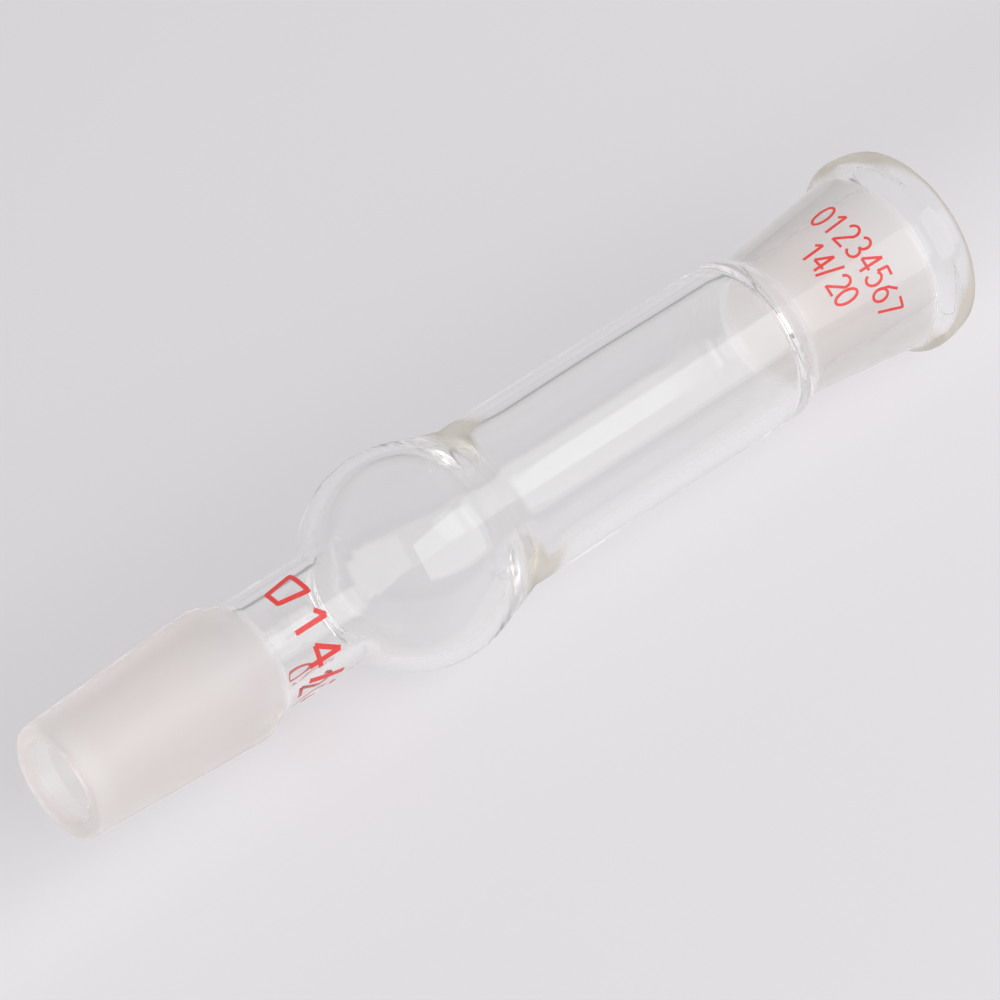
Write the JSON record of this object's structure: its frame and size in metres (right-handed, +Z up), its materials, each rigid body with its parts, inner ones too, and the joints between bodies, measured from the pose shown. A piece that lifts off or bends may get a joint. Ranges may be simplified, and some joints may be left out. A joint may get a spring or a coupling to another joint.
{
  "type": "drying tube",
  "caption": "Straight glass drying tube: ground taper plug, narrow neck, round bulb, straight barrel and a lipped taper socket, lying on its side.",
  "frame": {"origin": "centre of the box at floor level, under the middle of the tube's length", "axes": "+X from the plug towards the socket, +Z up; the tube's own axis leans 0.40 degrees down towards the socket, because the lip is narrower than the bulb"},
  "size_m": [0.1131, 0.0228, 0.0228],
  "materials": {
    "clear_glass": "clear borosilicate glass, ground matt on the plug's taper and inside the socket"
  },
  "bodies": {
    "root": {"drying_tube": "clear_glass"}
  },
  "joints": []
}
